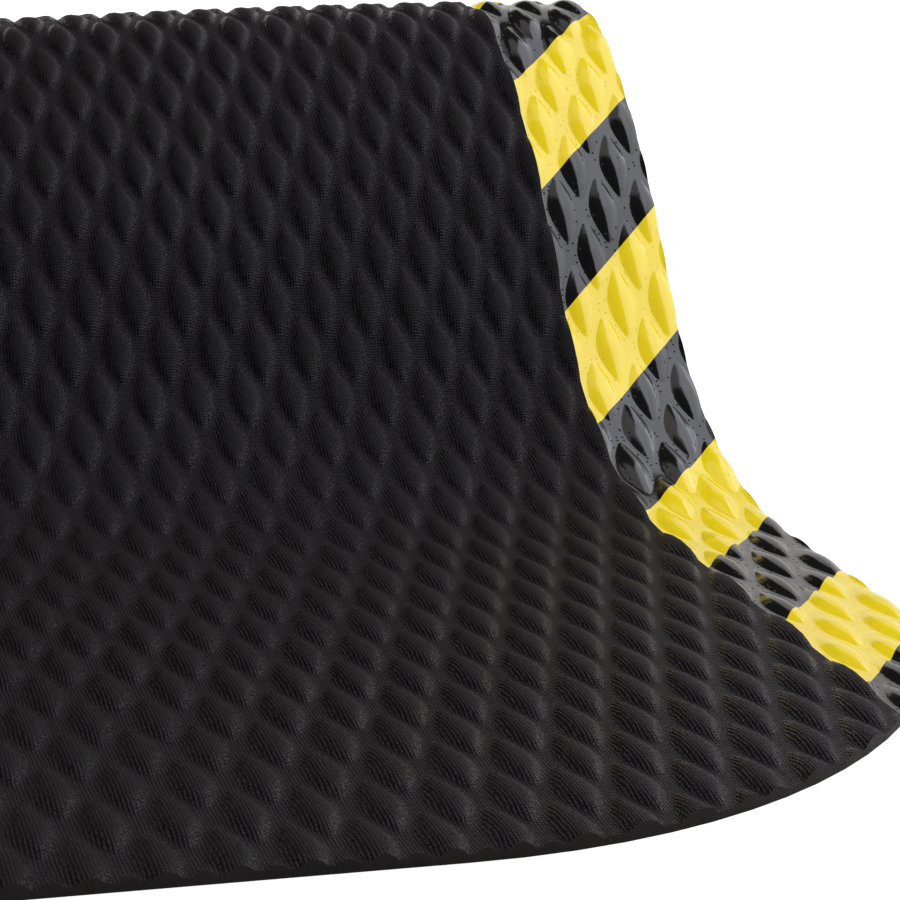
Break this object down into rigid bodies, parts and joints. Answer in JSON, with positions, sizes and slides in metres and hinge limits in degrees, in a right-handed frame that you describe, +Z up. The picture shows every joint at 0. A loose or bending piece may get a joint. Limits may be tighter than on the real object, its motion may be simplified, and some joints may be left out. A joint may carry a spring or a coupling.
{
  "type": "rubber floor mat",
  "caption": "Black rubber floor mat with raised diamond pillows and black and yellow hazard stripes along both long edges, pushed up into one standing fold across its width.",
  "frame": {"origin": "on the floor, in the middle of the flat front of the mat: centre line, half way between the front end and the foot of the fold", "axes": "+X across the mat to the right, +Y from the front end towards the back, +Z up from the floor"},
  "size_m": [0.61, 0.8476, 0.1796],
  "materials": {
    "field_rubber": "matte, with a fine woven impression",
    "yellow_facing": "glossy",
    "black_facing": "glossy"
  },
  "bodies": {
    "root": {"mat_sheet": "field_rubber", "right_yellow_stripes": "yellow_facing", "right_black_stripes": "black_facing", "left_yellow_stripes": "yellow_facing", "left_black_stripes": "black_facing"}
  },
  "joints": []
}
